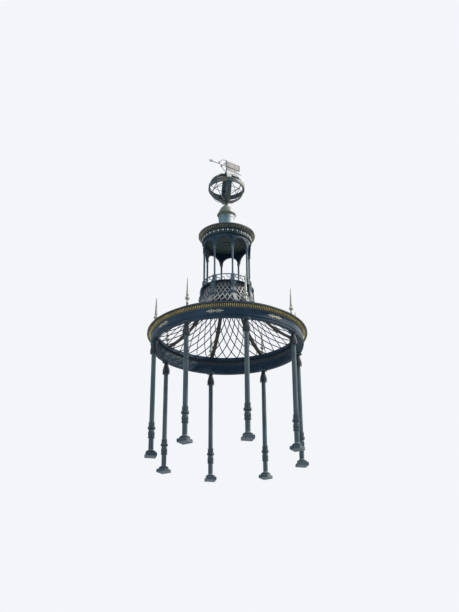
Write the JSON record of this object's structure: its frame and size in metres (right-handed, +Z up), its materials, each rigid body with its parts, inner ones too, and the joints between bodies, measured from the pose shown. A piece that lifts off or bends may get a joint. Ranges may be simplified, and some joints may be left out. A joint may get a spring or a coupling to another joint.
{
  "type": "open iron garden kiosk",
  "caption": "Round open iron garden kiosk with slender columns, a gilt ring cornice, a lattice roof, an open lantern, an openwork sphere and a turning wind vane.",
  "frame": {"origin": "centre of the column circle at ground level", "axes": "+Z up along the kiosk's axis, -Y out through the middle of an open bay"},
  "size_m": [4.352, 4.352, 9.1983],
  "materials": {
    "column_paint": "satin weathered paint over cast iron",
    "beam_paint": "satin dark blue-green paint",
    "gilding": "aged gilding",
    "roof_paint": "dull brown-grey paint",
    "pale_gilding": "pale weathered gilding",
    "lantern_paint": "satin dark blue-green paint",
    "ceiling_paint": "dull dark green paint",
    "patina": "pale grey-green patina",
    "sphere_metal": "dark bronze-green with worn gilding",
    "vane_sheet": "dull grey sheet"
  },
  "bodies": {
    "kiosk": {"column_1": "column_paint", "column_2": "column_paint", "column_3": "column_paint", "column_4": "column_paint", "column_5": "column_paint", "column_6": "column_paint", "column_7": "column_paint", "column_8": "column_paint", "ring_beam": "beam_paint", "cornice": "gilding", "roof_curb": "beam_paint", "roof_rib_1": "roof_paint", "roof_rib_2": "roof_paint", "roof_rib_3": "roof_paint", "roof_rib_4": "roof_paint", "roof_rib_5": "roof_paint", "roof_rib_6": "roof_paint", "roof_rib_7": "roof_paint", "roof_rib_8": "roof_paint", "roof_lattice_1": "roof_paint", "roof_lattice_2": "roof_paint", "roof_lattice_3": "roof_paint", "roof_lattice_4": "roof_paint", "roof_lattice_5": "roof_paint", "roof_lattice_6": "roof_paint", "roof_lattice_7": "roof_paint", "roof_lattice_8": "roof_paint", "lance_finials": "pale_gilding", "drum_sill": "roof_paint", "drum_lattice_1": "roof_paint", "drum_lattice_2": "roof_paint", "drum_consoles": "lantern_paint", "gallery_floor": "lantern_paint", "gallery_rail": "lantern_paint", "lantern_columns": "lantern_paint", "lantern_arcade": "lantern_paint", "lantern_ceiling": "ceiling_paint", "lantern_frieze": "lantern_paint", "lantern_cornice": "gilding", "lantern_roof": "patina", "sphere_pedestal": "patina", "pedestal_cap": "patina", "level_band": "sphere_metal", "upright_bands": "sphere_metal", "inner_hoops": "sphere_metal", "spindle": "sphere_metal"},
    "vane": {"vane_arm": "sphere_metal", "vane_flag": "vane_sheet"}
  },
  "joints": [
    {"name": "vane_turn", "type": "hinge", "parent": "kiosk", "child": "vane", "pos_m": [0, 0, 8.9833], "axis": [0, 0, 1], "continuous": true}
  ]
}
